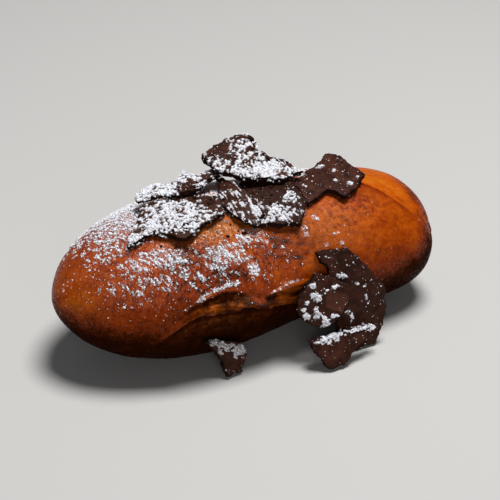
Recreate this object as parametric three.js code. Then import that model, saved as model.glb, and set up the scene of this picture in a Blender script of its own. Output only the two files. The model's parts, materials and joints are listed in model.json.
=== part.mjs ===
// A bunuelo: one long roll of fried dough under broken plates of dark chocolate.
// Millimetres, +Z up. X runs along the roll, and the origin is on the table under its middle.
// The front of the roll, which more plates lean on, faces -Y.
import * as THREE from "three";

// The roll of dough
const ROLL_LENGTH = 132;
const ROLL_HALF_WIDTH = 28.5; // at its middle
const ROLL_CROWN = 24.2; // from its axis up to its top
const ROLL_BELLY = 26.4; // from its axis down to its underside
const AXIS_HEIGHT = 25; // the underside is pressed flat where it would reach below the table
const NEAR_POINT = 1.6; // how blunt each end is: 2 is an ellipse, more is blunter
const FAR_POINT = 3.3;
const TAPER = 0.31; // how much it thins for each half length towards the far end
const FLARE = 0.35; // how much each end swells again, to the square
const FAR_DROOP = 3.8; // how far its axis sinks at the far end
const ROLL_AROUND = 72; // facets round it and along it
const ROLL_ALONG = 44;

// Lips along the front, where the crust has curled out over the dough below it. A lip runs from
// one place to another along the roll, highest at its crest. Angles go round the roll in degrees,
// from 0 at the front to 90 at the top, and a bend is in degrees for each square millimetre.
const LIPS = [
  { crest: -26, angle: 3, nearBend: 0.08, farBend: 0.013, from: -44, to: 34, depth: 2.3, reach: 70 },
  { crest: -19.5, angle: 15.5, nearBend: 0.044, farBend: 0.1, from: -38, to: -6, depth: 0.8, reach: 26 },
  { crest: 6, angle: 6.6, nearBend: 0.02, farBend: 0.05, from: -12, to: 22, depth: 0.9, reach: 24 },
];
const LIP_EDGE = 9; // degrees over which a lip turns in
const LIP_END = 14; // millimetres over which it fades at each end
const LIP_CURL = 0.4; // how far it stands out, as a share of its depth
// The rows of facets near the front bend to run along the first lip.
const ROW_STRAY = 25; // degrees, at most
const ROW_REACH = 60; // degrees above and below the front

// The brown cap of crust ends in a low step that runs aslant across the far end.
const CAP_EDGE = new THREE.Plane(new THREE.Vector3(0.77, 0.49, 0.4).normalize(), -48.7);
const CAP_STEP = 0.6;
const CAP_SLOPE = 2; // how far to each side the step spreads
const CAP_RIM = 8; // how far back from the step the crust is raised

// Broken plates of chocolate. Each lies face up round its own middle, is bowed, leans back by so
// many degrees from lying flat, turns to face another way than the front, and is moved into place.
// bow: how far it has sunk 10 mm from its middle, across x and across y, and its twist.
const PLATE_ROUND = 28; // points round an outline
const PLATE_RINGS = [0.4, 0.75];
const RAGGED = 0.35; // how far a broken edge strays
const PLATES = {
  plate_low_left: {
    at: [-26, -7.9, 50.1], lean: 12, face: -30, bow: [0.5, 0.6, 0], thick: 1.8,
    outline: [
      [-14.7, -12.3], [-7.6, -7], [2.9, -9.4], [7, -4.2],
      [14.1, 4.1], [11.6, 10.8], [1.2, 12.5], [-12.2, 4.5],
    ],
  },
  plate_back_left: {
    at: [-17, 4.2, 54.2], lean: 3, face: -60, bow: [0.3, 0.3, 0], thick: 1.6,
    outline: [
      [-8.5, -15.5], [1, -7], [5, -1], [4.5, 5], [6, 12], [2.5, 13],
      [1, 8], [-0.5, 4], [-5.5, 4.8], [-3.8, -1.5], [-5, -5.2], [-9.3, -7.5], [-10.5, -14],
    ],
  },
  plate_middle: {
    at: [7.9, -11.1, 48.9], lean: 19, face: 5, bow: [0.3, 1.2, 0], thick: 1.8,
    outline: [[-12.8, -5.3], [2.1, -10.3], [8.3, -3.1], [8.6, 6.1], [6.3, 13.2], [-5.8, 14.2]],
  },
  plate_curl: {
    at: [-5.8, -8.5, 51.3], lean: 18, face: -40, bow: [1.6, 0.6, 0], thick: 1.5,
    outline: [
      [-9.2, 10], [-6.1, 1.8], [-2.8, -3.7], [2, -6.8],
      [7.6, -8.8], [9.3, -3.1], [4.5, 2.6], [-3.2, 7.8],
    ],
  },
  plate_far: {
    at: [28.2, -5.7, 48], lean: 12, face: 15, bow: [0.2, 0.8, 0], thick: 1.7,
    outline: [
      [-12.5, -4.5], [-8, -3.5], [-2.5, -2.5], [1, -8], [6, -7],
      [14, -3], [14, 11.5], [11.8, 13.6], [8.5, 11.3], [4, 9.3], [-2, 8.5], [-10, 6],
    ],
  },
  plate_top: {
    at: [5.6, 5.9, 56.8], lean: 17, face: 20, bow: [0.3, 0.2, 0], thick: 2,
    outline: [
      [-7, -7], [2, -13], [11, -13.5], [9.5, -7], [6, -3], [5.3, 1],
      [8.7, 7.5], [6.5, 10.3], [0, 11], [-12, 10], [-14, 2],
    ],
  },
  plate_leaning_back: {
    at: [27.3, -29.5, 22.9], lean: 78, face: 0, bow: [0.3, 0.3, 0], thick: 1.7,
    outline: [
      [-8, -22.5], [5, -22.5], [8, -16], [9, -9], [9, -2],
      [6, 0.5], [1.5, 8], [-3, 13], [-14, 14], [-10.5, 8],
    ],
  },
  plate_leaning_front: {
    at: [13.1, -31.9, 22], lean: 74, face: -10, bow: [0.3, 0.3, 0], thick: 1.8,
    outline: [
      [-8, -4], [-4.5, -7.5], [1, -8.5], [5.5, -5.5], [7.5, -2.5],
      [10.5, 3], [3, 7.5], [-2, 9.5], [-9, 1.5],
    ],
  },
  plate_foot_far: {
    at: [18.5, -35.9, 9.2], lean: 65, face: 0, bow: [0.1, 0.1, 0], thick: 2.2,
    outline: [
      [-7, -9], [-2, -9], [3, -5], [8, -2], [12.5, 0.5],
      [6.5, 1.5], [-6, 1.5], [-12, 1.5], [-10.5, -3],
    ],
  },
  plate_foot_near: {
    at: [-18.5, -26.3, 9.5], lean: 76, face: 9, bow: [0.1, 0.1, 0], thick: 1.8,
    outline: [
      [-4, 0.5], [-2.5, -5], [-1.5, -9], [4, -9], [6.5, -4],
      [6.5, -0.5], [1.5, 2.5], [-3, 4.5], [-7.5, 5.5],
    ],
  },
};

/** The angle round the roll at which a lip runs, at a place along the roll. */
function lipAngle(lip, x) {
  const bend = x < lip.crest ? lip.nearBend : lip.farBend;
  return lip.angle - bend * (x - lip.crest) ** 2;
}

/** How far a lip takes the skin in, at a place along the roll and an angle round it. */
function lipDepth(lip, x, angle) {
  const below = lipAngle(lip, x) - angle;
  const rise = THREE.MathUtils.smoothstep(x, lip.from, lip.from + LIP_END);
  const fall = 1 - THREE.MathUtils.smoothstep(x, lip.to - LIP_END, lip.to);
  const inwards = THREE.MathUtils.smoothstep(below, 0, LIP_EDGE);
  const back = 1 - THREE.MathUtils.smoothstep(below, LIP_EDGE, lip.reach);
  const curl = LIP_CURL * Math.exp(-((below / LIP_EDGE + 0.5) ** 2));
  return lip.depth * rise * fall * (inwards * back - curl);
}

/** How far the rim of the cap lifts the skin out, at a distance beyond the cap's edge. */
function capRim(beyond) {
  const step = 1 - THREE.MathUtils.smoothstep(beyond, -CAP_SLOPE, CAP_SLOPE);
  return CAP_STEP * step * Math.exp(Math.min(beyond, 0) / CAP_RIM);
}

/** A point of the roll's skin, from a point of the unit sphere whose poles are the ends. */
function rollPoint(unit) {
  const point = unit.x < 0 ? NEAR_POINT : FAR_POINT;
  const along = Math.sign(unit.x) * Math.abs(unit.x) ** (2 / point);
  const round = Math.hypot(unit.y, unit.z);
  const girth = round ** (2 / point) * (1 - TAPER * along + FLARE * along * along);
  const x = (ROLL_LENGTH / 2) * along;
  const even = THREE.MathUtils.radToDeg(Math.atan2(unit.z, -unit.y));
  const follow = Math.max(lipAngle(LIPS[0], x), -ROW_STRAY) * Math.exp(-((even / ROW_REACH) ** 2));
  const angle = even + follow;
  const side = -Math.cos(THREE.MathUtils.degToRad(angle));
  const up = Math.sin(THREE.MathUtils.degToRad(angle));
  const y = ROLL_HALF_WIDTH * girth * side;
  const axis = AXIS_HEIGHT - FAR_DROOP * Math.max(along, 0) ** 2;
  const z = axis + (up > 0 ? ROLL_CROWN : ROLL_BELLY) * girth * up;

  let outwards = capRim(CAP_EDGE.distanceToPoint(new THREE.Vector3(x, y, z)));
  for (const lip of LIPS) {
    outwards -= lipDepth(lip, x, angle);
  }
  outwards *= Math.min(round * 2, 1);
  return new THREE.Vector3(x, y + outwards * side, Math.max(z + outwards * up, 0));
}

function makeRoll() {
  const skin = new THREE.SphereGeometry(1, ROLL_AROUND, ROLL_ALONG).rotateZ(Math.PI / 2);
  const places = skin.getAttribute("position");
  const unit = new THREE.Vector3();
  for (let i = 0; i < places.count; i++) {
    places.setXYZ(i, ...rollPoint(unit.fromBufferAttribute(places, i)));
  }
  const crust = new THREE.MeshStandardMaterial({ color: 0x9a5320, roughness: 0.5, metalness: 0 });
  return new THREE.Mesh(skin, crust);
}

/** A list of points evenly round a closed outline that keeps its corners, ragged between them. */
function brokenOutline(corners) {
  const sides = corners.map((corner, i) => {
    const start = new THREE.Vector2(...corner);
    const end = new THREE.Vector2(...corners[(i + 1) % corners.length]);
    return { start, end, length: start.distanceTo(end), steps: 1 };
  });
  for (let spare = PLATE_ROUND - sides.length; spare > 0; spare--) {
    const longest = sides.reduce((a, b) => (a.length / a.steps < b.length / b.steps ? b : a));
    longest.steps += 1;
  }
  const points = [];
  for (const { start, end, length, steps } of sides) {
    const out = new THREE.Vector2(end.y - start.y, start.x - end.x).divideScalar(length);
    for (let step = 0; step < steps; step++) {
      const stray = step ? RAGGED * Math.sin(2.4 * points.length) : 0;
      points.push(start.clone().lerp(end, step / steps).addScaledVector(out, stray));
    }
  }
  return points;
}

function makePlate({ at, lean, face, bow, thick, outline }) {
  const rim = brokenOutline(outline);
  const under = [0, ...PLATE_RINGS, 1].map((ring) => new THREE.Vector2(ring, -thick / 2));
  const upper = under.map((point) => new THREE.Vector2(point.x, thick / 2)).reverse();
  const profile = [...under, ...upper];
  const plate = new THREE.LatheGeometry(profile, rim.length);
  const places = plate.getAttribute("position");
  for (let i = 0; i < places.count; i++) {
    const corner = rim[Math.floor(i / profile.length) % rim.length];
    const { x: ring, y: height } = profile[i % profile.length];
    const x = ring * corner.x;
    const y = ring * corner.y;
    const sunk = (bow[0] * x * x + bow[1] * y * y + bow[2] * x * y) / 100;
    places.setXYZ(i, x, y, height - sunk);
  }
  plate.rotateX(THREE.MathUtils.degToRad(lean)).rotateZ(THREE.MathUtils.degToRad(face));
  const chocolate = new THREE.MeshStandardMaterial({ color: 0x35211a, roughness: 0.6, metalness: 0 });
  const mesh = new THREE.Mesh(plate, chocolate);
  mesh.position.set(...at);
  return mesh;
}

const bunuelo = new THREE.Group();
const roll = makeRoll();
roll.name = "dough";
bunuelo.add(roll);
for (const [name, plate] of Object.entries(PLATES)) {
  const mesh = makePlate(plate);
  mesh.name = name;
  bunuelo.add(mesh);
}

export default bunuelo;
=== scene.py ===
import json
import math
from functools import partial

import bmesh
import bpy
import numpy as np
from bpy.props import FloatProperty, FloatVectorProperty, IntProperty, PointerProperty
from bpy.types import Operator, Panel, PropertyGroup
from mathutils import Matrix, Vector, kdtree, noise
from mathutils.bvhtree import BVHTree

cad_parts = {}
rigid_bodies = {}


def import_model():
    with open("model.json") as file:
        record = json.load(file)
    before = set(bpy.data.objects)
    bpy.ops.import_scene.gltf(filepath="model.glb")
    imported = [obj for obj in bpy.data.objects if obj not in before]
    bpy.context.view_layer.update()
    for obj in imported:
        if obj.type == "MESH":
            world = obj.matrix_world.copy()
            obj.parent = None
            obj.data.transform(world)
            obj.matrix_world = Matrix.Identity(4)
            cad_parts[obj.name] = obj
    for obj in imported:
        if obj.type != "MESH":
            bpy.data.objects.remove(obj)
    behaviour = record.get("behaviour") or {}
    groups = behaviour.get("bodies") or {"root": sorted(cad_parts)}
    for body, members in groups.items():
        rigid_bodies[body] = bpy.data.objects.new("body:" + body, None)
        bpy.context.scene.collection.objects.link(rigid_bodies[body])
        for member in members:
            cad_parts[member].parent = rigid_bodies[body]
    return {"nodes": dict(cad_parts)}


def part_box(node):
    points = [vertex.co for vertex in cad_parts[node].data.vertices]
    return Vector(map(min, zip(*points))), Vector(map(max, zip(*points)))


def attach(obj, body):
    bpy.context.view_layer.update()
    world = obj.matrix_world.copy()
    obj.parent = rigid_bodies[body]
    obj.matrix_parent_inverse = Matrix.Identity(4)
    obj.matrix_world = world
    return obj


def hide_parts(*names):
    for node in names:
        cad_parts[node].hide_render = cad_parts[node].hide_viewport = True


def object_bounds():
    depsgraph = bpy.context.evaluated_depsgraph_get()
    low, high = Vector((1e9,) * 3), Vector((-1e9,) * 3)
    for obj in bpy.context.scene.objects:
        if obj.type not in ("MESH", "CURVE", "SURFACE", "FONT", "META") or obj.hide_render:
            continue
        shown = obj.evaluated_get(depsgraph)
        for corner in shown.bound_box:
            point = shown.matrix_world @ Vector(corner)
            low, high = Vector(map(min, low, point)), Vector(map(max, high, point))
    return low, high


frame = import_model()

bl_info = {
    "name": "Bunuelo",
    "version": (1, 0, 0),
    "blender": (4, 5, 0),
    "location": "View3D > Sidebar > Bunuelo",
    "description": "Finishes a bunuelo with fried crust, broken chocolate and icing sugar",
    "category": "Add Mesh",
}

MM = 0.001
STRAW_DARK = "361603"  # yellower crust at its darkest, low on the roll, where it is partly painted shade
STRAW_BURNT = "200b02"  # its darkest, in the hollows under the lips and low on the roll, partly painted shade
BLOOM = "4a281b"  # the greyish film on set chocolate, whose amount on each plate also paints light and shade
PAINTED_PIT_SHADE = "0e0604"  # painted shade in the pits of a broken edge
FLAKE_PAINTED_LIGHT = "4e2b1f"  # where a flake came off, lighter as painted light on a facet that faces the light
POWDER = "e9e2e3"  # sugar too thin to stand up
SUGAR_SHADE = "e6e7ee"
CLUMP_FACES = 20
POWDER_FACES = 8
PIECE_FACES = 198000  # the most faces of all the grains of one piece
GRAIN_FLAT = 0.7  # thickness of grains and crumbs as a share of their width
CRUMB_FLAT = 0.6
FRINGE = 0.08  # how far sugar strays over the edge of its patch, as a share
PLATE_SPECKS = 0.006  # the chance that a grain lies on a plate by itself
# How far up a face has to look for sugar and crumbs to stay: 1 is level, 0 upright.
ROLL_STEEPEST = -0.12
LYING_STEEPEST = 0.4
STANDING_STEEPEST = 0.05
CRUMB_STEEPEST = 0.3
FALL_SPREAD = 0.16  # how far from straight down sugar falls, as a slope
SKY_REACH = 0.1  # metres up to which a piece shelters a place
DUST = 0.75  # how white the surface under a patch of sugar looks
FEW_CLUMPS = 0.06  # the share of clumps among strewn grains, and how much more in a patch
MORE_CLUMPS = 0.31
HEAP_SLOPE = 0.6  # how steeply a patch of sugar rises from its edge, and how high in mm
HEAP_HEIGHT = 0.3
EDGE_FACING = 0.55  # a plate's broken edges face along its face by less than this
EDGE_REACH = 1.3  # mm from there to which a plate is ragged,
LAYER_REACH = 0.5  # shows its layers
RIM_REACH = 0.35  # and has the colour of broken chocolate, with painted shade in its pits
CAD_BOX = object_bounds()

# The roll, in millimetres. Its shape is the CAD dough's, with sharper lips and a finer skin.
NEAR_POINT = 1.6  # how blunt each end is: 2 is an ellipse, more is blunter
FAR_POINT = 3.3
TAPER = 0.31
FLARE = 0.35
HALF_LENGTH = 66
HALF_WIDTH = 28.5
CROWN = 24.2
BELLY = 26.4
AXIS_HEIGHT = 25
FAR_DROOP = 3.8
DEGREE = 0.45  # millimetres of skin for one degree round the roll
ROW_STRAY = 25
ROW_REACH = 60

# Lips of crust that curl out over the dough below, by their place along the roll and the angle
# round it in degrees, from 0 at the front to 90 at the top.
# A lip's browned amount is painted shade in the hollow under its edge.
LIPS = [
    dict(
        crest=-26, angle=3, near=0.08, far=0.013, start=-48, rise=24, end=34,
        depth=2.2, reach=70, edge=5, browned=0.25,
    ),
    dict(
        crest=-19.5, angle=15.5, near=0.044, far=0.1, start=-38, rise=10, end=-6,
        depth=0.42, reach=26, edge=2, browned=0.06,
    ),
    dict(
        crest=6, angle=6.6, near=0.02, far=0.05, start=-12, rise=10, end=22,
        depth=0.48, reach=24, edge=2.2, browned=0.08,
    ),
]
LIP_FADE = 14  # mm over which a lip dies away towards the far end
LIP_CURL = 0.5  # how far it stands out, as a share of its depth
LIP_FLOOR = (-88, -66)  # degrees over which its hollow fades out under the roll

# The cap of browner crust, which ends in a low step aslant across the far end: the way across
# its edge, how far out that lies, the step's height and half width, and its raised rim's width.
CAP_ACROSS = np.array([0.77, 0.49, 0.4]) / np.linalg.norm([0.77, 0.49, 0.4])
CAP_REACH = 48.7
CAP_STEP = 0.55
CAP_SLOPE = 0.3
CAP_RIM = 8

# A short crack like a sickle in the near half, by place along the roll and angle.
SICKLE = [(-47.8, 40), (-47.6, 35), (-47.1, 29), (-46.2, 24.8), (-44.6, 23)]


def linear(hex_colour):
    """An sRGB hex colour as the linear one that shaders work in."""
    parts = [int(hex_colour[i : i + 2], 16) / 255 for i in (0, 2, 4)]
    return tuple(c / 12.92 if c <= 0.04045 else ((c + 0.055) / 1.055) ** 2.4 for c in parts)


def colour_property(name, description, hex_colour):
    return FloatVectorProperty(
        name=name, description=description, subtype="COLOR", size=3, min=0, max=1,
        default=linear(hex_colour),
    )


def length_property(name, description, millimetres):
    return FloatProperty(
        name=name, description=description, default=millimetres * MM, unit="LENGTH"
    )


class CrustSettings(PropertyGroup):
    around: IntProperty(name="Around", description="Facets round the roll", default=320, min=32)
    along: IntProperty(name="Along", description="Facets along the roll", default=280, min=32)
    lumps: length_property("Lumps", "Height of the broad lumps that proving leaves", 0.45)
    wrinkles: length_property("Wrinkles", "Height of the fine wrinkles", 0.16)
    pale: colour_property("Pale", "Dough that the oil has hardly browned", "bd6e17")
    golden: colour_property("Golden", "Lightly fried crust", "bb5404")
    brown: colour_property("Brown", "Well fried crust", "893002")
    # Dark and burnt show low on the roll, in the hollows under the lips and along the crack, where
    # they are partly painted shade.
    dark: colour_property("Dark", "Crust that lay on the hot pan longest", "421501")
    burnt: colour_property("Burnt", "The darkest creases", "240a02")
    yolk: colour_property("Yolk", "Crust that took more egg and less heat", "c1690d")
    straw: colour_property("Straw", "The same where it is browner", "793e03")


class ChocolateSettings(PropertyGroup):
    cuts: IntProperty(name="Cuts", description="Cuts along each edge of a plate", default=5, min=1)
    ragged: length_property("Ragged", "How far a broken edge strays", 0.55)
    face: colour_property("Face", "Set face of the chocolate", "2a1108")
    # Kept dark partly as painted shade along the plates' edges.
    broken: colour_property("Broken", "Freshly broken chocolate", "2c150b")


class SugarSettings(PropertyGroup):
    seed: IntProperty(name="Seed", description="Where the grains fall", default=7)
    clump: length_property("Clump", "Radius of a usual clump of icing sugar", 0.21)
    powder: length_property("Powder", "Radius of a usual grain of the finer powder", 0.12)
    on_crust: FloatProperty(
        name="On crust", description="Grains to a square mm of crust", default=20
    )
    on_plates: FloatProperty(
        name="On plates", description="Grains to a square mm of plate", default=30
    )
    white: colour_property("White", "Icing sugar", "f7f8fc")


class CrumbSettings(PropertyGroup):
    seed: IntProperty(name="Seed", description="Where the crumbs fall", default=3)
    size: length_property("Size", "Half the length of a usual crumb", 0.38)


class StageSettings(PropertyGroup):
    azimuth: FloatProperty(
        name="Azimuth", description="Where the camera stands round the object",
        default=math.radians(-26.5), subtype="ANGLE",
    )
    elevation: FloatProperty(
        name="Elevation", description="How far the camera looks down",
        default=math.radians(31), subtype="ANGLE",
    )
    distance: length_property("Distance", "From the camera to the middle of the object", 550)
    lens: FloatProperty(
        name="Lens", description="Focal length in millimetres", default=122, min=20
    )
    floor: colour_property("Floor", "Plain pale floor", "c4c2bf")


class BunueloSettings(PropertyGroup):
    crust: PointerProperty(type=CrustSettings)
    chocolate: PointerProperty(type=ChocolateSettings)
    sugar: PointerProperty(type=SugarSettings)
    crumbs: PointerProperty(type=CrumbSettings)
    stage: PointerProperty(type=StageSettings)


# ---- Numbers along and round the roll ----


def smoothstep(value, low, high):
    t = np.clip((value - low) / (high - low), 0, 1)
    return t * t * (3 - 2 * t)


def fading(value, low, high):
    return 1 - smoothstep(value, low, high)


def bell(value, middle, width):
    return np.exp(-(((value - middle) / width) ** 2))


def ripple(points, size, seed):
    """Smooth noise from about -1 to 1 at points in mm, with bumps of this size in mm."""
    scaled = points / np.asarray(size, float) + seed * np.array([1.7, 2.3, 3.1])
    return np.array([noise.noise(p) for p in scaled.tolist()])


def flat_points(u, v):
    """Places on a plane as points, which noise needs."""
    return np.stack([u, v, np.zeros_like(u)], 1)


def turned(u, v, degrees):
    """Places on a plane, read along axes turned by so many degrees."""
    a = math.radians(degrees)
    return u * math.cos(a) + v * math.sin(a), v * math.cos(a) - u * math.sin(a)


def along_and_round(points):
    """Where points in mm lie on the roll: along it, and in degrees from -90 below to 270."""
    angle = np.degrees(np.arctan2(points[:, 2] - AXIS_HEIGHT, -points[:, 1]))
    return points[:, 0], np.where(angle < -90, angle + 360, angle)


def lip_angle(lip, x):
    bend = np.where(x < lip["crest"], lip["near"], lip["far"])
    return lip["angle"] - bend * (x - lip["crest"]) ** 2


def lip_shown(lip, x):
    """How much of a lip shows along the roll, from 0 to 1."""
    rise = smoothstep(x, lip["start"], lip["start"] + lip["rise"])
    return rise * fading(x, lip["end"] - LIP_FADE, lip["end"])


def lip_depth(lip, x, angle, stray):
    """How far a lip takes the skin in, with its edge straying by so many degrees."""
    below = lip_angle(lip, x) + stray - angle
    inwards = smoothstep(below, 0, lip["edge"])
    back = fading(below, lip["edge"], lip["reach"]) * smoothstep(angle, *LIP_FLOOR)
    curl = bell(below / lip["edge"], -0.4, 0.8) - 0.7 * bell(below / lip["edge"], -1.6, 0.45)
    return lip["depth"] * lip_shown(lip, x) * (inwards * back - LIP_CURL * curl)


def roll_skin(unit):
    """The skin of the roll in mm from points of a unit sphere whose poles are its ends."""
    point = np.where(unit[:, 0] < 0, NEAR_POINT, FAR_POINT)
    along = np.sign(unit[:, 0]) * np.abs(unit[:, 0]) ** (2 / point)
    radius = np.hypot(unit[:, 1], unit[:, 2])
    girth = radius ** (2 / point) * (1 - TAPER * along + FLARE * along**2)
    x = HALF_LENGTH * along
    even = np.degrees(np.arctan2(unit[:, 2], -unit[:, 1]))
    follow = np.maximum(lip_angle(LIPS[0], x), -ROW_STRAY) * bell(even, 0, ROW_REACH)
    angle = even + follow
    side = -np.cos(np.radians(angle))
    up = np.sin(np.radians(angle))
    axis = AXIS_HEIGHT - FAR_DROOP * np.maximum(along, 0) ** 2
    y = HALF_WIDTH * girth * side
    z = axis + np.where(up > 0, CROWN, BELLY) * girth * up
    skin = np.stack([x, y, z], 1)

    wander = flat_points(x, np.zeros_like(x))
    outwards = cap_rim(skin)
    for number, lip in enumerate(LIPS):
        stray = 2.4 * ripple(wander, 9, number) + 1.4 * ripple(wander, 3, number + 5)
        stray += 0.9 * ripple(wander, 1.2, number + 8)
        outwards -= lip_depth(lip, x, angle, stray)
    outwards *= np.minimum(radius * 2, 1)
    way = np.stack([np.zeros_like(x), side, up], 1)
    return skin + outwards[:, None] * way


def beyond_cap(points):
    """How far points lie beyond the edge of the cap, which wanders a little."""
    wander = 0.8 * ripple(points, 6, 3) + 0.3 * ripple(points, 1.8, 4)
    return points @ CAP_ACROSS - CAP_REACH + wander


def cap_grain(points, angle):
    """Places whose noise makes fibres that run beside the edge of the cap."""
    beyond = points @ CAP_ACROSS - CAP_REACH
    return flat_points(beyond, angle * 0.12)


def cap_rim(points):
    """How far the rim of the cap lifts the skin out."""
    beyond = beyond_cap(points)
    step = fading(beyond, -CAP_SLOPE, CAP_SLOPE)
    shown = smoothstep(points[:, 2] - AXIS_HEIGHT, -6, 10)
    return CAP_STEP * shown * step * np.exp(np.minimum(beyond, 0) / CAP_RIM)


def cap_fibres(beyond):
    """Where fibres show, just beyond the cap's edge, from 0 to 1."""
    return smoothstep(beyond, 0.3, 1.5) * fading(beyond, 4.5, 9.5)


def rise_of(points):
    """How far up the roll points lie, in degrees from -90 below to 90 on top on either side. It
    runs evenly over the ends."""
    sideways = np.hypot(points[:, 1], 14 * smoothstep(np.abs(points[:, 0]), 48, HALF_LENGTH))
    return np.degrees(np.arctan2(points[:, 2] - AXIS_HEIGHT, sideways))


def slanted_noise(x, angle, slant, size, seed):
    """Noise from -1 to 1 whose bumps run aslant over the skin and fade out at both ends."""
    shown = smoothstep(HALF_LENGTH - np.abs(x), 3, 14)
    return ripple(flat_points(*turned(x, angle * DEGREE, slant)), size, seed) * shown


def stroke_noise(x, angle):
    """Strokes of sugar and browning that cling along the wrinkles."""
    return slanted_noise(x, angle, -70, (1.6, 0.5, 1), 15)


def line_distance(x, angle, line):
    """How far points lie in mm from a line of (along, angle) corners on the skin."""
    place = np.stack([x, angle * DEGREE], 1)
    nearest = np.full(len(x), 1e6)
    corners = [np.array([a, b * DEGREE]) for a, b in line]
    for start, end in zip(corners, corners[1:]):
        run = end - start
        share = np.clip((place - start) @ run / (run @ run), 0, 1)
        gap = np.linalg.norm(place - start - share[:, None] * run, axis=1)
        nearest = np.minimum(nearest, gap)
    return nearest


def crust_relief(points, x, angle, crust):
    """How far the fine skin stands out from the smooth roll, in mm."""
    lumps = ripple(points, (24, 15, 15), 1) + 0.35 * ripple(points, 8, 2)
    wrinkled = 0.35 + 0.65 * bell(angle, 38, 40) * fading(x, 0, 26)
    wrinkled *= smoothstep(rise_of(points), -85, -55)
    out = crust.lumps / MM * lumps
    out += crust.wrinkles / MM * wrinkled * slanted_noise(x, angle, -60, (2.6, 0.95, 1), 11)
    out += 0.1 * wrinkled * ripple(points, 1.1, 6)

    rough = rough_band(x, angle)
    out += rough * (0.22 * ripple(points, 2.4, 8) + 0.14 * ripple(points, 1.1, 9))
    grain = flat_points(x * 0.15, angle * DEGREE - x * 0.2)
    out += pale_lens(x, angle) * (0.5 + 0.3 * ripple(grain, 0.9, 10))

    blisters = np.maximum(ripple(points, 1.7, 12), 0)
    blisters = blisters - 0.5 * np.maximum(ripple(points, 1.1, 13), 0)
    out += 0.36 * blister_field(x, angle) * blisters

    fibres = cap_fibres(points @ CAP_ACROSS - CAP_REACH)
    out += 0.28 * fibres * ripple(cap_grain(points, angle), (1.1, 1.1, 1), 14)

    crack = line_distance(x, angle, SICKLE)
    flap = bell(crack, 0.9, 0.7) * smoothstep(-46.8 - x, -0.6, 0.6)
    out += 0.22 * flap - 0.45 * bell(crack, 0, 0.36)
    return out


def blister_field(x, angle):
    """Where the oil has raised small blisters, from 0 to 1."""
    return bell(x, 30, 12) * bell(angle, 50, 17)


def pale_lens(x, angle, tall=3):
    """Where the dough bulges pale and smooth between two lips, from 0 to 1."""
    return bell(x, 3.5, 5) * bell(angle, 2.4, tall)


def rough_band(x, angle):
    """Where torn dough shows between the lips, from 0 to 1."""
    upper = np.maximum(lip_angle(LIPS[1], x), lip_angle(LIPS[2], x))
    lower = lip_angle(LIPS[0], x)
    inside = smoothstep(angle, lower - 5, lower + 1) * fading(angle, upper - 3, upper)
    return inside * smoothstep(x, -38, -28) * fading(x, 12, 22)


# Browner and paler places: along the roll, angle, half their length and height, and how much.
BROWNINGS = [
    (-15, 53, 13, 10, -0.16), (20, 40, 15, 26, -0.12), (32, 62, 9, 13, 0.1),
    (-27, 30, 20, 20, 0.2), (5, 32, 11, 12, 0.17), (-13, 22, 4, 4, 0.12), (-19, 23, 9, 7, 0.12),
    (12, 32, 8, 9, 0.06), (60, 62, 3.5, 12, 0.16), (35, -9, 9, 12, -0.1), (-26, 46, 9, 8, 0.2),
    (-34, 9, 14, 9, 0.1),
]
# Yellower places in the same way.
YELLOWINGS = [(-15, 56, 15, 9, 0.9), (-61, 26, 7, 22, 0.25), (17, 38, 14, 20, 0.45)]


def crust_tone(points, x, angle):
    """How dark the crust is, from browning and from painted shade low on the roll, in the hollows
    under the lips and along the crack: 0 pale, 0.3 golden, 0.6 brown, 0.85 dark, 1 burnt.
    """
    tone = 0.5 + 0.06 * ripple(points, 14, 21) + 0.05 * ripple(points, 5, 22)
    for middle, height, long, tall, amount in BROWNINGS:
        tone += amount * bell(x, middle, long) * bell(angle, height, tall)
    tone += 0.24 * smoothstep(x, 53, 62) + 0.12 * bell(x, -46, 10) * smoothstep(angle, 45, 60)

    under = rise_of(points)
    beyond = beyond_cap(points)
    # Darker low on the roll: partly browning, partly painted shade under the roll.
    tone += 0.56 * fading(under, -34, 18)
    tone -= 0.18 * smoothstep(beyond, -0.1, 0.5) * smoothstep(under, -10, 40)
    tone += 0.15 * bell(beyond, -0.7, 1.1) * smoothstep(under, 20, 50)
    tone += 0.24 * cap_fibres(beyond) * ripple(cap_grain(points, angle), (1.1, 1.2, 1), 16)

    patch = np.hypot((x + 61) / 5, (angle - 26) / 22) + 0.35 * ripple(points, 4, 23)
    tone -= (0.12 + 0.1 * ripple(points, 1.6, 28)) * fading(patch, 0.5, 1.15)
    flecked = flat_points(x * 0.45 + angle * DEGREE * 0.3, angle * DEGREE)
    tone += rough_band(x, angle) * (0.22 - 0.5 * np.maximum(ripple(flecked, 0.8, 26), 0))
    tone -= 0.3 * pale_lens(x, angle)
    creased = smoothstep(under, 5, 25) * fading(x, 0, 25) * smoothstep(x, -62, -45)
    tone -= 0.38 * creased * stroke_noise(x, angle)
    # Painted shade in the hollow under each lip's edge, by its browned amount, and paler crust
    # along its curl.
    for lip in LIPS:
        below = lip_angle(lip, x) - angle
        shown = lip_shown(lip, x)
        tone += lip["browned"] * shown * bell(below, lip["edge"], lip["edge"] * 0.6)
        tone -= 0.14 * shown * bell(below, -0.4 * lip["edge"], lip["edge"] * 0.5)
    # Painted shade along the sickle crack.
    tone += 0.18 * bell(line_distance(x, angle, SICKLE), 0, 0.4)
    return np.clip(tone, 0, 1)


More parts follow.
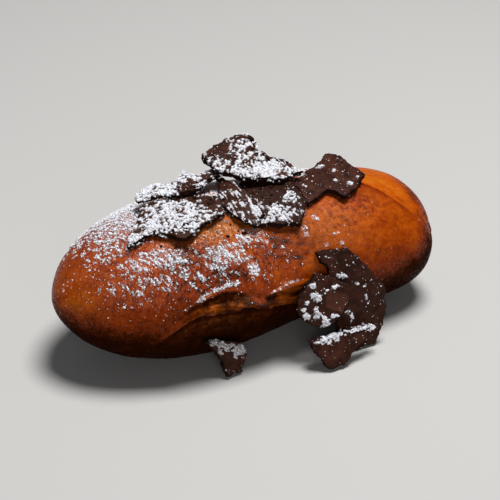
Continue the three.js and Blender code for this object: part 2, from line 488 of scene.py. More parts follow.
def crust_yellow(points, x, angle):
    """How yellow the crust is rather than red, from 0 to 1."""
    below = lip_angle(LIPS[0], x) - angle
    places = [
        0.75 * smoothstep(below, -3, 4) * bell(x, -18, 34),
        0.6 * rough_band(x, angle),
        0.9 * pale_lens(x, angle, 3.5),
        0.35 * fading(rise_of(points), -30, 0),
    ]
    for middle, height, long, tall, amount in YELLOWINGS:
        places.append(amount * bell(x, middle, long) * bell(angle, height, tall))
    yellow = np.max(places, axis=0)
    yellow += 0.22 * ripple(points, 6, 24) + 0.12 * ripple(points, 2, 25)
    return np.clip(yellow, 0, 1)


# ---- Sugar: how much of the surface it covers, from 0 to 1 ----

# Drifts on the crust: along the roll, angle, half their length, half their height, and share.
CRUST_DRIFTS = [
    (-60, 70, 6, 20, 0.3), (-46, 68, 8, 9, 0.42), (-40, 48, 9, 10, 0.5), (-34, 44, 6, 7, 0.6),
    (-25, 40, 8, 6, 0.34), (-17, 37, 7, 9, 0.6), (-6.5, 46, 4.5, 5.5, 0.9),
    (-13, 34, 5, 5, 0.5), (-8.7, 24, 1.8, 4.6, 1), (-32, 30, 15, 7, 0.32),
    (-20, 23, 7, 4, 0.24), (-54, 30, 8, 14, 0.1), (-48, 36, 6, 12, 0.36),
    (-45.4, 25.5, 1.1, 2.2, 1), (-1.7, 39, 0.7, 1.8, 0.9), (3, 33, 0.8, 1.2, 0.7),
    (13, 42.6, 1, 2.2, 1), (13, 37.6, 0.6, 1.6, 0.9), (17.7, 49.6, 0.7, 1.7, 1),
    (18.6, 47.4, 0.7, 1.4, 1), (23.3, 33, 1.6, 0.8, 0.8), (18.7, 26.8, 0.7, 1.2, 0.9),
    (24.3, 25, 0.7, 1.4, 1),
]
# Lines of sugar caught on the lips: corners, width in mm and share.
CAUGHT = [
    ([(-28, 13.4), (-26, 15), (-22.5, 17.4), (-17, 18.4), (-14.5, 18)], 0.6, 0.95),
    ([(-33, 8.5), (-28, 13.4)], 0.3, 0.6),
    ([(-3.4, 6.2), (1, 7.9), (4.6, 8.8), (8, 8.4)], 0.4, 0.75),
    ([(-47.4, 36), (-46.6, 29)], 0.4, 0.5),
]


def crust_share(x, angle):
    """The share of the crust that sugar covers."""
    top = smoothstep(angle, 51, 94) * fading(angle, 150, 205)
    share = 0.95 * top * fading(x, -12, 26) * smoothstep(x, -66, -36)
    share = np.maximum(share, 0.55 * top * bell(x, 24, 8) * smoothstep(angle, 95, 110))
    for middle, height, long, tall, amount in CRUST_DRIFTS:
        drift = amount * np.exp(-(((x - middle) / long) ** 4))
        share = np.maximum(share, drift * np.exp(-(((angle - height) / tall) ** 4)))
    strewn = smoothstep(angle, 8, 20) * fading(angle, 48, 66)
    share = np.maximum(share, 0.1 * strewn * smoothstep(x, -60, -50) * fading(x, -4, 16))
    for line, width, amount in CAUGHT:
        share = np.maximum(share, amount * bell(line_distance(x, angle, line), 0, width))
    return share


def thin_dust(points):
    """How much sugar lies over the crust too thinly to stand up, from 0 to 1."""
    x, angle = along_and_round(points)
    thin = 0.05 * smoothstep(angle, 5, 28) * fading(x, 18, 46) * smoothstep(x, -66, -50)
    thin = np.maximum(thin, 0.3 * smoothstep(crust_share(x, angle), 0.15, 0.8))
    return np.maximum(thin, 0.06 * bell(x, -9, 6) * bell(angle, 4, 5))


def crust_specks(points):
    """The chance that a grain lies on the crust by itself."""
    x, angle = along_and_round(points)
    return 0.009 * smoothstep(angle, -12, 15) * (1 - 0.9 * smoothstep(x, -5, 15))


# How each plate lies, in degrees, with how much sugar covers it and where more or less does:
# across and up the plate from the middle of its box, half sizes in mm, and how much. The grain
# is the run in degrees of the streaks in its sugar, with their length and width in mm.
PLATES = {
    "plate_low_left": dict(lean=12, face=-30, share=0.5, grain=(60, 1.3, 0.9), patches=[
        (10.8, 7.9, 4.5, 4.5, -0.5), (5.7, -8, 4, 2.5, -0.45), (0.7, -8.3, 4, 1.8, -0.35),
        (-11.2, 3.4, 2.5, 6, -0.3), (-7.3, -5.2, 3, 2, -0.15), (-0.8, 2.3, 7, 6, 0.3),
        (-1.9, -4, 7, 2.5, 0.15), (-12.2, -8.2, 3, 2, 0.3), (3.2, 10.2, 5, 2.5, -0.35),
    ]),
    "plate_back_left": dict(lean=3, face=-60, share=0.74, grain=(30, 1.3, 0.9), patches=[
        (4, -1.7, 3, 3.5, -0.95), (6, 6.3, 2.5, 2.5, -0.6),
    ]),
    # plate_middle has little bloom: painted shade for the shade under plate_top
    "plate_middle": dict(lean=19, face=5, share=0.06, grain=(5, 1.1, 0.9), patches=[
        (5.1, -2.2, 2.2, 2.6, 0.6), (-1.2, -5.3, 3.4, 2.8, 0.55), (-7.2, -8, 4, 1.6, 0.6),
        (1.2, -10.1, 4, 1.6, 0.2), (1.9, -7.7, 4, 2, 0.25), (-4.9, -1.5, 2, 1.6, 0.3),
    ], scraped=1.4, bloom_and_painted_light=0.15),
    "plate_curl": dict(lean=18, face=-40, share=0.29, grain=(-48, 3.4, 0.6), patches=[
        (7.4, -3.9, 3, 2, 0.35), (-3.8, 3.3, 3, 3, -0.15), (2, -2.6, 4, 2, 0.1),
    ], scraped=1),
    # plate_far has more bloom: painted light where it is lit
    "plate_far": dict(lean=12, face=15, share=0, grain=(0, 3.5, 0.8), patches=[
        (1, 3.8, 1.8, 0.8, 1.2), (-6.5, 4.3, 1.7, 0.9, 0.7), (0, -4.7, 0.8, 0.7, 1.1),
        (3.5, -8.2, 0.8, 0.8, 1.1), (8, -6.7, 0.6, 0.5, 0.9), (-10.6, -1.2, 0.6, 0.9, 0.8),
        (3.5, -0.2, 0.7, 0.5, 0.6), (-12.6, -6.7, 0.5, 0.5, 0.7),
    ], scraped=0.6, bloom_and_painted_light=1.3),
    "plate_top": dict(lean=17, face=20, share=0.48, grain=(38, 1.8, 0.8), patches=[
        (-6.6, 9.2, 6, 3, -0.8), (-8.5, 5, 4.5, 4, -0.1), (5.8, -3.2, 1.6, 1.4, -0.9),
        (-0.5, -8, 8, 4, 0.4), (7.3, 7, 1.6, 1.6, -0.3), (1, 4, 3, 3, 0.12),
        (-10.5, 9, 1.5, 1.2, 0.4), (8, -9, 1.6, 2, -0.4),
    ]),
    "plate_leaning_back": dict(lean=78, face=0, share=0, grain=(0, 1, 0.8), patches=[
        (-3.1, 8.9, 1.4, 0.8, 1), (-4.6, 9.6, 1, 0.6, 0.8), (1.4, 5.2, 0.7, 0.7, 1),
        (4.4, -0.1, 0.45, 0.9, 0.9), (4.9, -2.6, 0.45, 0.6, 0.9), (3.9, 3.4, 0.5, 0.5, 0.8),
        (-2.8, -3.6, 0.7, 0.7, 0.9), (-1.2, -6.2, 0.6, 1.2, 0.9), (-6.2, -9.6, 1, 1, 1),
        (2.4, -9.6, 1.6, 0.5, 0.8), (-8.1, 16.4, 0.9, 0.6, 0.4), (6.6, 5.4, 0.5, 0.5, 0.4),
    ]),
    "plate_leaning_front": dict(lean=74, face=-10, share=0.05, grain=(0, 1, 0.9), patches=[
        (-4.3, 5.5, 0.9, 0.9, 1.1), (-3.9, 2, 1.6, 1, 1.2), (-2.6, 0.6, 1, 1, 1.1),
        (0.2, 3, 0.9, 0.7, 1.1), (3.2, 3.6, 1.1, 0.7, 1.1), (-6.8, -0.1, 0.8, 0.6, 1),
        (-7.8, -2, 0.7, 0.6, 1), (-7.1, -4.5, 1.1, 1, 1.1), (-3.8, -2.7, 0.8, 1, 1.1),
        (-3.5, -4.6, 1, 1, 1), (-0.8, -7, 1.3, 1.2, 1.1), (2.4, -5.7, 1.4, 0.6, 1),
    ], flake=(3.4, -0.8, 3.7, 3.2, -12)),
    "plate_foot_far": dict(lean=65, face=0, share=0, grain=(0, 1.2, 0.8), patches=[
        (-3.5, 5, 3.6, 1.1, 1.1), (4.6, 4.9, 3.8, 0.9, 1), (9.8, 4.3, 1.5, 0.9, 1),
        (-8.8, 4.4, 1.7, 0.9, 0.9), (-5.2, 3.2, 2, 0.7, 0.7),
    ]),
    "plate_foot_near": dict(lean=76, face=9, share=0.08, grain=(-35, 1.6, 0.8), patches=[
        (-4.4, 6.1, 1.4, 1, 1.4), (-1.4, 4.4, 1.4, 1, 1.4), (1.1, 2.9, 1.9, 1, 1.4),
        (4.1, 1.1, 1.9, 1.2, 1.4), (6.4, -0.5, 1.2, 1.2, 1.4), (3.1, -1.1, 1, 1, 0.9),
        (-2.4, 2.4, 0.8, 1, 0.7),
    ]),
}


# Where crumbs of chocolate fell: x and y of the middle, how far they spread, and how many.
CRUMB_FALLS = [
    (-9, -17, 2.2, 0.9, 14), (-17, -1, 2.5, 1.5, 14), (9.8, 12, 0.8, 3, 22),
    (11.3, 6.5, 0.8, 1.5, 14), (15.5, 3, 2, 0.8, 24), (20, 0.8, 1.8, 0.8, 16),
    (-26, -13.5, 4, 1, 12), (-13, -5, 1.6, 2, 12), (4, -8, 4, 4, 14),
]


def chocolate_name(name):
    """The name of the piece that takes a plate's place."""
    return name.replace("plate", "chocolate")


def plate_axes(plate):
    """Across, up and out of a plate's face."""
    turn = Matrix.Rotation(math.radians(plate["face"]), 3, "Z")
    lean = Matrix.Rotation(math.radians(plate["lean"]), 3, "X")
    return np.array(turn @ lean).T


def on_plate(name, points):
    """Points in mm as across, up and out from the middle of a plate's box."""
    low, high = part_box(name)
    middle = np.array((low + high) / 2) / MM
    return (points - middle) @ plate_axes(PLATES[name]).T


def plate_share(name, points):
    """The share of a plate that sugar covers at points in mm."""
    plate = PLATES[name]
    place = on_plate(name, points)
    share = np.full(len(points), float(plate["share"]))
    for across, up, wide, tall, amount in plate["patches"]:
        share += amount * bell(place[:, 0], across, wide) * bell(place[:, 1], up, tall)
    return share


def plate_specks(points):
    """The chance that a grain lies on a plate by itself."""
    return np.full(len(points), PLATE_SPECKS)


def depth_on_crust(points):
    x, angle = along_and_round(points)
    stroke = 0.8 * stroke_noise(x, angle) + 0.35 * ripple(points, 1.1, 91)
    stroke += 0.2 * ripple(points, 5, 92)
    return sugar_depth(crust_share(x, angle), stroke)


def grain_noise(name, points, seed):
    """Noise whose bumps are as long and wide as a plate's grain and run along it."""
    run, long, wide = PLATES[name]["grain"]
    place = on_plate(name, points)
    return ripple(flat_points(*turned(place[:, 0], place[:, 1], run)), (long, wide, 1), seed)


def depth_on_plate(name, points):
    flat = on_plate(name, points) * [1, 1, 0]
    stroke = 0.62 * grain_noise(name, points, 93) + 0.3 * ripple(flat, 3, 94)
    stroke += 0.42 * ripple(flat, 0.75, 95)
    return sugar_depth(plate_share(name, points), stroke)


def flaked(name, points):
    """Where a flake has come off a plate's face, from 0 to 1; the lighter colour there is painted
    light.
    """
    if "flake" not in PLATES[name]:
        return np.zeros(len(points))
    across, up, wide, tall, run = PLATES[name]["flake"]
    place = on_plate(name, points)
    u, v = turned(place[:, 0] - across, place[:, 1] - up, run)
    v = v + 0.2 * u
    u, v = u + 0.5 * ripple(place, 2.2, 97), v + 0.45 * ripple(place, 1.8, 98)
    inside = fading(np.abs(u), wide - 0.4, wide + 0.2)
    inside *= fading(np.abs(v), tall - 0.4, tall + 0.2)
    return inside * (place[:, 2] > 0)


# ---- Building ----


def cooked_mesh(name, bm, material, smooth=True):
    """A new object at the origin from a bmesh, which it frees."""
    for face in bm.faces:
        face.smooth = smooth
    mesh = bpy.data.meshes.new(name)
    bm.to_mesh(mesh)
    bm.free()
    mesh.materials.append(material)
    piece = bpy.data.objects.new(name, mesh)
    bpy.context.scene.collection.objects.link(piece)
    return piece


def read_threes(values, field):
    """Three numbers for each of a mesh's values."""
    found = np.empty(len(values) * 3)
    values.foreach_get(field, found)
    return found.reshape(-1, 3)


def points_of(mesh):
    """A mesh's points in mm."""
    return read_threes(mesh.vertices, "co") / MM


def normals_of(mesh):
    return read_threes(mesh.vertex_normals, "vector")


def place_points(mesh, points):
    mesh.vertices.foreach_set("co", (points * MM).ravel())
    mesh.update()


def keep_values(mesh, name, values):
    """Keeps a number at each point of a mesh for its material to read."""
    kept = mesh.attributes.new(name, "FLOAT", "POINT")
    kept.data.foreach_set("value", np.asarray(values, np.float32))


def add_node(tree, kind, sockets=(), stops=(), **settings):
    """Adds a shader node with its settings, its sockets' values or links by name or in order, and
    a ramp's stops. As a value, a node stands for the first of its outputs that is in use."""
    made = tree.nodes.new("ShaderNode" + kind)
    for name, value in settings.items():
        setattr(made, name, value)
    pairs = sockets.items() if isinstance(sockets, dict) else enumerate(sockets)
    for socket, value in pairs:
        if isinstance(value, bpy.types.Node):
            value = next(output for output in value.outputs if output.enabled)
        if isinstance(value, bpy.types.NodeSocket):
            tree.links.new(value, made.inputs[socket])
        else:
            made.inputs[socket].default_value = value
    for number, (place, colour) in enumerate(stops):
        elements = made.color_ramp.elements
        stop = elements[number] if number < len(elements) else elements.new(place)
        stop.position = place
        stop.color = (*colour, 1)
    return made


def new_material(name):
    """A material, and what adds nodes to its empty tree."""
    material = bpy.data.materials.new(name)
    material.use_nodes = True
    material.node_tree.nodes.clear()
    return material, partial(add_node, material.node_tree)


def per_mm(size):
    """The scale of a noise in object coordinates whose features are this size in mm."""
    return 1 / (size * MM)


def sugared(add, colour, grain, low, high):
    """How much a thin dust of sugar veils a colour, by a noise, and the colour that makes."""
    dust = add("Attribute", attribute_name="dust").outputs["Fac"]
    veil = add("MapRange", (grain, low, high))
    veil = add("Math", (veil, dust), operation="MULTIPLY")
    white = (*linear(POWDER), 1)
    return veil, add("Mix", {0: veil, 6: colour, 7: white}, data_type="RGBA")


def fried_crust(crust):
    """Deep-fried yeast dough. Oil browns it unevenly, from gold where it rose last to dark
    red-brown below, the dark below being partly painted shade, so the eye gets soft mottling, fine
    streaks, tiny pores and an oily gloss."""
    material, add = new_material("fried_yeast_dough_crust")
    place = add("TexCoord").outputs["Object"]
    tone, mottle, yellow = (
        add("Attribute", attribute_name=name).outputs["Fac"]
        for name in ("tone", "mottle", "yellow")
    )
    slanted = add("Mapping", {"Vector": place, "Rotation": (0.5, 0.2, 0.5), "Scale": (1, 3, 3)})
    broad, streaks, blotches, fine, grain, oil = (
        add(
            "TexNoise",
            dict(Vector=spot, Scale=per_mm(size), Detail=detail, Roughness=rough, Distortion=warp),
        )
        for spot, size, detail, rough, warp in (
            (place, 7, 5, 0.6, 0), (slanted, 4, 4, 0.65, 0), (place, 1.7, 2, 0.5, 0.5),
            (place, 0.8, 3, 0.6, 0), (place, 0.5, 2, 0.5, 0), (place, 0.7, 2, 0.5, 0),
        )
    )
    for pattern, amount in ((broad, 0.34), (streaks, 0.2), (fine, 0.26)):
        shift = add("Math", (pattern, amount, -amount / 2), operation="MULTIPLY_ADD")
        tone = add("Math", (tone, shift), operation="ADD")
    spots = add("MapRange", (blotches, 0.42, 0.66, -0.12, 0.2))
    spotted = add("Math", (spots, mottle, tone), operation="MULTIPLY_ADD")
    reds = [crust.pale, crust.golden, crust.brown, crust.dark, crust.burnt]
    yellows = [crust.yolk, crust.straw, linear(STRAW_DARK), linear(STRAW_BURNT)]
    red = add("ValToRGB", [spotted], zip((0.02, 0.3, 0.58, 0.82, 1), reds))
    warm = add("ValToRGB", [spotted], zip((0.1, 0.55, 0.85, 1), yellows))
    hued = add("Mix", {0: yellow, 6: red, 7: warm}, data_type="RGBA")
    veil, veiled = sugared(add, hued, grain, 0.45, 0.62)
    skin = add("Bump", {"Strength": 0.6, "Distance": 0.16 * MM, "Height": fine})
    skin = add(
        "Bump", {"Strength": 0.4, "Distance": 0.25 * MM, "Height": streaks, "Normal": skin}
    )
    rough = add("MapRange", (oil, 0.52, 0.62, 0.5, 0.17))
    sheen = add("MapRange", (oil, 0.52, 0.62, 0.16, 1))
    dull = add("MapRange", (tone, 0.55, 0.85, 1, 0.03))
    blistered = add("Math", (mottle, 0.8, 0.2), operation="MULTIPLY_ADD")
    for share in (dull, blistered):
        sheen = add("Math", (sheen, share), operation="MULTIPLY")
    rough = add("Math", (veil, 0.4, rough), operation="MULTIPLY_ADD")
    shader = add(
        "BsdfPrincipled",
        {
            "Base Color": veiled, "Roughness": rough, "IOR": 1.45, "Specular IOR Level": sheen,
            "Specular Tint": (1, 0.78, 0.66, 1), "Normal": skin,
        },
    )
    add("OutputMaterial", [shader])
    return material


def dark_chocolate(chocolate):
    """Dark chocolate set in a thin sheet and broken. The set faces are satin with a faint greyish
    film and scrape marks, and each plate's amount of that film also paints light and shade on it.
    The broken edges are browner, rough and matt, with near-black pits that are painted shade, and
    the lighter patch where a flake came off is painted light."""
    material, add = new_material("dark_chocolate_broken_sheet")
    place = add("TexCoord").outputs["Object"]
    rim, bloom_and_painted_light_amount, flake_and_painted_light = (
        add("Attribute", attribute_name=name).outputs["Fac"] for name in ("rim", "bloom_and_painted_light", "flake_and_painted_light")
    )
    cloud, grit = (
        add(
            "TexNoise",
            dict(Vector=place, Scale=per_mm(size), Detail=detail, Roughness=rough),
        )
        for size, detail, rough in ((4, 6, 0.75), (0.7, 3, 0.7))
    )
    bloom_and_painted_light = add("MapRange", (cloud, 0.42, 0.64, 0, 0.9))
    # Times each plate's amount of bloom, which also paints light and shade.
    bloom_and_painted_light = add("Math", (bloom_and_painted_light, bloom_and_painted_light_amount), operation="MULTIPLY")
    # Broken edges: their brown mixed by a noise with near-black pits, which is painted shade; the
    # brown itself is kept dark partly as painted shade along the plates' edges.
    shaded_pits = {0: grit, 6: (*linear(PAINTED_PIT_SHADE), 1), 7: (*chocolate.broken, 1)}
    broken = add("Mix", shaded_pits, data_type="RGBA")
    colour = (*chocolate.face, 1)
    films = ((bloom_and_painted_light, (*linear(BLOOM), 1)), (rim, broken), (flake_and_painted_light, (*linear(FLAKE_PAINTED_LIGHT), 1)))
    for share, other in films:
        colour = add("Mix", {0: share, 6: colour, 7: other}, data_type="RGBA")
    _, veiled = sugared(add, colour, grit, 0.3, 0.6)
    bump = add("Bump", {"Strength": 0.6, "Distance": 0.2 * MM, "Height": grit})
    rough = add("Math", (rim, 0.2, 0.46), operation="MULTIPLY_ADD")
    shader = add(
        "BsdfPrincipled",
        {
            "Base Color": veiled, "Roughness": rough, "IOR": 1.47, "Specular IOR Level": 0.08,
            "Normal": bump,
        },
    )
    add("OutputMaterial", [shader])
    return material


def icing_sugar(sugar):
    """Icing sugar: milled sugar with a little starch. Its grains are far too fine to see, so its
    clumps are matt, white and soft, a touch bluish in their own shade."""
    material, add = new_material("icing_sugar")
    place = add("TexCoord").outputs["Object"]
    powder = add("TexNoise", {"Vector": place, "Scale": per_mm(0.6), "Detail": 2})
    shaded = {0: powder, 6: (*linear(SUGAR_SHADE), 1), 7: (*sugar.white, 1)}
    colour = add("Mix", shaded, data_type="RGBA")
    shader = add(
        "BsdfPrincipled", {"Base Color": colour, "Roughness": 0.95, "Specular IOR Level": 0.2}
    )
    add("OutputMaterial", [shader])
    return material


def sky_tree(pieces):
    """A tree of the pieces' faces, to find what shelters a place."""
    bm = bmesh.new()
    for piece in pieces:
        bm.from_mesh(piece.data)
    tree = BVHTree.FromBMesh(bm)
    bm.free()
    return tree


def sugar_depth(share, stroke):
    """How deep inside a patch of sugar a place lies: above 0 in the sugar, below 0 beside it."""
    return (1 + FRINGE) * share - FRINGE - 1 / (1 + np.exp(-6.5 * stroke))


def fallen(piece, depth_at, speck_at, steepest, per_square_mm, random, sky):
    """Where sugar lies on a piece: points, outward ways and depths, of points spread evenly on
    its surface, those in the sugar or stray specks, and open to the sky."""
    mesh = piece.data
    mesh.calc_loop_triangles()
    corners = np.empty(len(mesh.loop_triangles) * 3, np.int64)
    mesh.loop_triangles.foreach_get("vertices", corners)
    corner, *others = points_of(mesh)[corners.reshape(-1, 3)].transpose(1, 0, 2)
    edge1, edge2 = (other - corner for other in others)
    normals = np.cross(edge1, edge2)
    areas = np.linalg.norm(normals, axis=1) / 2
    ways = normals / np.maximum(2 * areas[:, None], 1e-12)
    likely = areas * (ways[:, 2] > steepest)
    count = int(likely.sum() * per_square_mm)
    chosen = random.choice(len(areas), count, p=likely / likely.sum())
    a, b = random.random(count), random.random(count)
    a, b = np.where(a + b > 1, 1 - a, a), np.where(a + b > 1, 1 - b, b)
    points = corner[chosen] + a[:, None] * edge1[chosen] + b[:, None] * edge2[chosen]
    ways = ways[chosen]
    depth = depth_at(points)
    kept = depth > random.uniform(-FRINGE, FRINGE, count)
    kept |= random.random(count) < speck_at(points)
    points, ways, depth = points[kept], ways[kept], depth[kept]
    seen = np.zeros(len(points), bool)
    for number, (point, way) in enumerate(zip(points, ways)):
        slopes = random.normal(0, FALL_SPREAD), random.normal(0, FALL_SPREAD)
        fall = Vector((*slopes, 1)).normalized()
        start = Vector(point * MM) + Vector(way) * 0.3 * MM + fall * 0.1 * MM
        seen[number] = sky.ray_cast(start, fall, SKY_REACH)[0] is None
    return points[seen], ways[seen], np.maximum(depth[seen], 0)


def scattered(name, shape, points, ways, sizes, flat, random, material):
    """One mesh of many small copies of a shape, which it frees. A copy with its corners in an
    even order is doubled until there are enough, and each is then moved into its place and
    flattened along the way that is outwards there."""
    template = shape.copy()
    shape.free()
    count = len(points)
    corners = len(template.verts)
    while len(template.verts) < count * corners:
        whole = template.verts[:] + template.edges[:] + template.faces[:]
        bmesh.ops.duplicate(template, geom=whole)
    template.verts.ensure_lookup_table()
    bmesh.ops.delete(template, geom=template.verts[count * corners :], context="VERTS")
    piece = cooked_mesh(name, template, material)
    shape = points_of(piece.data).reshape(count, corners, 3)
    shape = shape * random.uniform(0.72, 1.22, (count, corners, 1))
    helper = np.where(np.abs(ways[:, 2:3]) < 0.9, [[0.0, 0.0, 1.0]], [[1.0, 0.0, 0.0]])
    first = np.cross(helper, ways)
    first /= np.linalg.norm(first, axis=1)[:, None]
    second = np.cross(ways, first)
    turn = random.uniform(0, 2 * math.pi, count)[:, None]
    east = first * np.cos(turn) + second * np.sin(turn)
    north = np.cross(ways, east)
    sizes = sizes[:, None, None]
    wide, long = (sizes * random.uniform(0.75, 1.35, (count, 1, 1)) for _ in range(2))
    high = sizes * flat
    placed = (
        shape[:, :, 0:1] * wide * east[:, None]
        + shape[:, :, 1:2] * long * north[:, None]
        + shape[:, :, 2:3] * high * ways[:, None]
        + points[:, None]
    )
    place_points(piece.data, placed.reshape(-1, 3))
    return piece


def grain_shape(faces):
    """A grain with a radius of 1 mm and as many faces as one of the two kinds has."""
    bm = bmesh.new()
    if faces == POWDER_FACES:
        bmesh.ops.create_uvsphere(bm, u_segments=4, v_segments=2, radius=MM)
    else:
        bmesh.ops.create_icosphere(bm, subdivisions=1, radius=MM)
    return bm


# ---- Operators ----


class BUNUELO_OT_crust(Operator):
    """Make the roll of fried dough, with its lips, wrinkles, blisters and browning"""

    bl_idname = "bunuelo.crust"
    bl_label = "Crust"

    def execute(self, context):
        crust = context.scene.bunuelo.crust
        bm = bmesh.new()
        lying = Matrix.Rotation(math.radians(90), 4, "Y")
        bmesh.ops.create_uvsphere(
            bm, u_segments=crust.around, v_segments=crust.along, radius=MM, matrix=lying
        )
        roll = cooked_mesh("dough_roll", bm, fried_crust(crust))
        unit = points_of(roll.data)
        skin = roll_skin(unit)
        reach = np.array(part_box("dough")[1]) / MM
        skin *= reach / skin.max(0)
        place_points(roll.data, skin)
        x, angle = along_and_round(skin)
        off_poles = np.minimum(np.hypot(unit[:, 1], unit[:, 2]) * 4, 1)
        relief = crust_relief(skin, x, angle, crust) * off_poles
        skin = skin + relief[:, None] * normals_of(roll.data)
        skin[:, 2] = np.maximum(skin[:, 2], 0)
        place_points(roll.data, skin)
        x, angle = along_and_round(skin)
        keep_values(roll.data, "tone", crust_tone(skin, x, angle))
        keep_values(roll.data, "mottle", 0.3 + 0.7 * blister_field(x, angle))
        keep_values(roll.data, "yellow", crust_yellow(skin, x, angle))
        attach(roll, "root")
        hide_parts("dough")
        return {"FINISHED"}


class BUNUELO_OT_chocolate(Operator):
    """Give each broken plate of chocolate its ragged edges and uneven faces"""

    bl_idname = "bunuelo.chocolate"
    bl_label = "Chocolate"

    def execute(self, context):
        chocolate = context.scene.bunuelo.chocolate
        material = dark_chocolate(chocolate)
        for number, name in enumerate(PLATES):
            self.make_plate(name, number, chocolate, material)
        return {"FINISHED"}

    def make_plate(self, name, number, chocolate, material):
        bm = bmesh.new()
        bm.from_mesh(frame["nodes"][name].data)
        bmesh.ops.remove_doubles(bm, verts=bm.verts, dist=0.01 * MM)
        bmesh.ops.subdivide_edges(bm, edges=bm.edges, cuts=chocolate.cuts, use_grid_fill=True)
        plate = cooked_mesh(chocolate_name(name), bm, material)
        points = points_of(plate.data)
        across, up, out = plate_axes(PLATES[name])
        facing = np.abs(normals_of(plate.data) @ out)
        walls = np.flatnonzero(facing < EDGE_FACING)
        tree = kdtree.KDTree(len(walls))
        for wall in walls:
            tree.insert(points[wall], wall)
        tree.balance()
        from_edge = np.array([tree.find(point)[2] for point in points])
        edge = bell(from_edge, 0, EDGE_REACH)
        ragged = chocolate.ragged / MM
        for way, seed in ((across, 31), (up, 41)):
            stray = ripple(points, 2.4, seed + number)
            stray = stray + 0.8 * ripple(points, 0.9, seed + 5 + number)
            sheets = np.stack([points @ across * 0.3, points @ up * 0.3, points @ out], 1)
            layer = ripple(sheets, 0.5, seed + 60)
            stray = stray + 0.75 * layer * bell(from_edge, 0, LAYER_REACH)
            points = points + (ragged * edge * stray)[:, None] * way
        rise = 0.18 * ripple(points, 6, 51 + number) + 0.1 * ripple(points, 1.8, 61)
        rise += 0.05 * ripple(points, 0.9, 62)
        rise -= 0.22 * edge * np.maximum(ripple(points, 1.3, 71 + number), 0)
        rise += 0.2 * PLATES[name].get("scraped", 0) * grain_noise(name, points, 81)
        flake_and_painted_light = flaked(name, points)
        rise -= 0.35 * flake_and_painted_light
        points = points + rise[:, None] * out
        points[:, 2] = np.maximum(points[:, 2], 0)
        place_points(plate.data, points)
        keep_values(plate.data, "rim", bell(from_edge, 0, RIM_REACH))
        # The flake's lighter colour is painted light.
        keep_values(plate.data, "flake_and_painted_light", flake_and_painted_light)
        # Each plate's amount of bloom, raised on plate_far as painted light and cut on
        # plate_middle as painted shade.
        keep_values(plate.data, "bloom_and_painted_light", np.full(len(points), PLATES[name].get("bloom_and_painted_light", 1)))
        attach(plate, "root")
        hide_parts(name)


class BUNUELO_OT_sugar(Operator):
    """Dust the crust and the chocolate with icing sugar from above"""

    bl_idname = "bunuelo.sugar"
    bl_label = "Icing sugar"

    def execute(self, context):
        sugar = context.scene.bunuelo.sugar
        random = np.random.default_rng(sugar.seed)
        material = icing_sugar(sugar)
        roll = bpy.data.objects["dough_roll"]
        plates = {name: bpy.data.objects[chocolate_name(name)] for name in PLATES}
        sky = sky_tree([roll, *plates.values()])

        self.dust(roll, depth_on_crust, thin_dust, ROLL_STEEPEST)
        found = fallen(
            roll, depth_on_crust, crust_specks, ROLL_STEEPEST, sugar.on_crust, random, sky
        )
        self.grains("on_dough", *found, sugar, random, material)

        parts = []
        for name, plate in plates.items():
            depth_at = partial(depth_on_plate, name)
            steepest = LYING_STEEPEST if PLATES[name]["lean"] < 45 else STANDING_STEEPEST
            self.dust(plate, depth_at, plate_specks, steepest)
            parts.append(
                fallen(plate, depth_at, plate_specks, steepest, sugar.on_plates, random, sky)
            )
        joined = [np.concatenate(part) for part in zip(*parts)]
        self.grains("on_chocolate", *joined, sugar, random, material)
        return {"FINISHED"}

    def dust(self, piece, depth_at, thin_at, steepest):
        """Whitens a piece's own surface in and around its sugar."""
        points = points_of(piece.data)
        depth = depth_at(points)
        dust = DUST * smoothstep(depth, -0.05, 0.1)
        facing = smoothstep(normals_of(piece.data)[:, 2], steepest, steepest + 0.15)
        keep_values(piece.data, "dust", np.maximum(dust, thin_at(points)) * facing)

    def grains(self, where, points, ways, depth, sugar, random, material):
        """Makes a piece of clumps and a piece of finer powder."""
        chance = FEW_CLUMPS + MORE_CLUMPS * np.clip(depth * 4, 0, 1)
        clumped = random.random(len(points)) < chance
        for kind, mine, radius, faces in (
            ("clumps", clumped, sugar.clump / MM, CLUMP_FACES),
            ("powder", ~clumped, sugar.powder / MM, POWDER_FACES),
        ):
            chosen = np.flatnonzero(mine)
            most = PIECE_FACES // faces
            if len(chosen) > most:
                chosen = np.sort(random.choice(chosen, most, replace=False))
            sizes = radius * np.exp(0.3 * random.standard_normal(len(chosen)))
            sizes = np.clip(sizes, 0.5 * radius, 2 * radius)
            heap = np.minimum(depth[chosen] * HEAP_SLOPE, HEAP_HEIGHT)
            heap = heap * random.uniform(0.3, 1, len(chosen))
            place = points[chosen] + (sizes * 0.25 + heap)[:, None] * ways[chosen]
            piece = scattered(
                f"sugar_{kind}_{where}", grain_shape(faces), place, ways[chosen], sizes,
                GRAIN_FLAT, random, material,
            )
            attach(piece, "root")


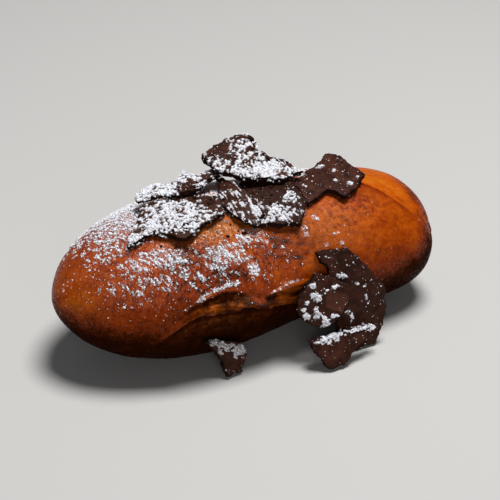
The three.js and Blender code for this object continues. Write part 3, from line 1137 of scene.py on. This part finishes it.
class BUNUELO_OT_crumbs(Operator):
    """Drop the crumbs that broke off the chocolate"""

    bl_idname = "bunuelo.crumbs"
    bl_label = "Chocolate crumbs"

    def execute(self, context):
        crumbs = context.scene.bunuelo.crumbs
        random = np.random.default_rng(crumbs.seed)
        names = ["dough_roll", *map(chocolate_name, PLATES)]
        lands = sky_tree([bpy.data.objects[name] for name in names])
        places, ways = [], []
        for x, y, long, wide, count in CRUMB_FALLS:
            for _ in range(count):
                above = Vector((x + random.normal(0, long), y + random.normal(0, wide), 90)) * MM
                spot, way, _, _ = lands.ray_cast(above, Vector((0, 0, -1)))
                if spot is not None and way.z > CRUMB_STEEPEST:
                    places.append(np.array(spot) / MM)
                    ways.append(np.array(way))
        places, ways = np.array(places), np.array(ways)
        sizes = crumbs.size / MM * np.exp(0.45 * random.standard_normal(len(places)))
        places = places + 0.3 * sizes[:, None] * ways
        flake = bmesh.new()
        bmesh.ops.create_cone(
            flake, cap_ends=True, segments=5, radius1=MM, radius2=0.6 * MM, depth=0.9 * MM
        )
        material = bpy.data.materials["dark_chocolate_broken_sheet"]
        piece = scattered(
            "chocolate_crumbs", flake, places, ways, sizes, CRUMB_FLAT, random, material
        )
        keep_values(piece.data, "rim", np.full(len(piece.data.vertices), 0.7))
        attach(piece, "root")
        return {"FINISHED"}


# The lamps: the way to each from the object, its width in metres and its power in watts.
LAMPS = [("key", (0.15, -0.03, 0.93), 0.36, 9.8), ("fill", (-0.3, -0.85, 0.3), 0.5, 1.45)]
LAMP_DISTANCE = 0.9
SKY_COLOUR = (0.9, 0.93, 1, 1)
SKY_STRENGTH = 0.08


class BUNUELO_OT_stage(Operator):
    """Set up the floor, the lights and the camera"""

    bl_idname = "bunuelo.stage"
    bl_label = "Stage"

    def execute(self, context):
        stage = context.scene.bunuelo.stage
        low, high = CAD_BOX
        middle = (low + high) / 2
        bm = bmesh.new()
        bmesh.ops.create_grid(bm, x_segments=1, y_segments=1, size=3)
        material, add = new_material("pale_matt_floor")
        shader = add("BsdfPrincipled", {"Base Color": (*stage.floor, 1), "Roughness": 0.9})
        add("OutputMaterial", [shader])
        floor = cooked_mesh("floor", bm, material, smooth=False)

        for name, way, size, power in LAMPS:
            light = bpy.data.lights.new(name, "AREA")
            light.shape = "DISK"
            light.size = size
            light.energy = power
            lamp = bpy.data.objects.new(name, light)
            lamp.location = middle + Vector(way).normalized() * LAMP_DISTANCE
            lamp.rotation_euler = Vector(way).to_track_quat("Z", "Y").to_euler()
            context.scene.collection.objects.link(lamp)

        world = bpy.data.worlds.new("pale_studio")
        world.use_nodes = True
        background = world.node_tree.nodes["Background"]
        background.inputs["Color"].default_value = SKY_COLOUR
        background.inputs["Strength"].default_value = SKY_STRENGTH
        context.scene.world = world
        context.scene.view_settings.view_transform = "Standard"

        a, e = stage.azimuth, stage.elevation
        back = Vector((math.sin(a) * math.cos(e), -math.cos(a) * math.cos(e), math.sin(e)))
        view = bpy.data.cameras.new("camera")
        view.lens = stage.lens
        view.clip_start = 0.01
        camera = bpy.data.objects.new("camera", view)
        camera.location = middle + back * stage.distance
        camera.rotation_euler = (-back).to_track_quat("-Z", "Y").to_euler()
        context.scene.collection.objects.link(camera)
        context.scene.camera = camera
        return {"FINISHED"}


class BUNUELO_PT_panel(Panel):
    bl_idname = "BUNUELO_PT_panel"
    bl_label = "Bunuelo"
    bl_space_type = "VIEW_3D"
    bl_region_type = "UI"
    bl_category = "Bunuelo"

    def draw(self, context):
        for step in STEPS:
            box = self.layout.box()
            box.operator(f"bunuelo.{step}")
            group = getattr(context.scene.bunuelo, step)
            for name in group.__annotations__:
                box.prop(group, name)


# Each operator, with the group of settings of the same name, in the order they run.
STEPS = ("crust", "chocolate", "crumbs", "sugar", "stage")
CLASSES = (
    CrustSettings, ChocolateSettings, SugarSettings, CrumbSettings, StageSettings,
    BunueloSettings, BUNUELO_OT_crust, BUNUELO_OT_chocolate, BUNUELO_OT_crumbs,
    BUNUELO_OT_sugar, BUNUELO_OT_stage, BUNUELO_PT_panel,
)


def register():
    for cls in CLASSES:
        bpy.utils.register_class(cls)
    bpy.types.Scene.bunuelo = PointerProperty(type=BunueloSettings)


def unregister():
    del bpy.types.Scene.bunuelo
    for cls in reversed(CLASSES):
        bpy.utils.unregister_class(cls)


def main():
    register()
    for step in STEPS:
        getattr(bpy.ops.bunuelo, step)()


if __name__ == "__main__":
    main()
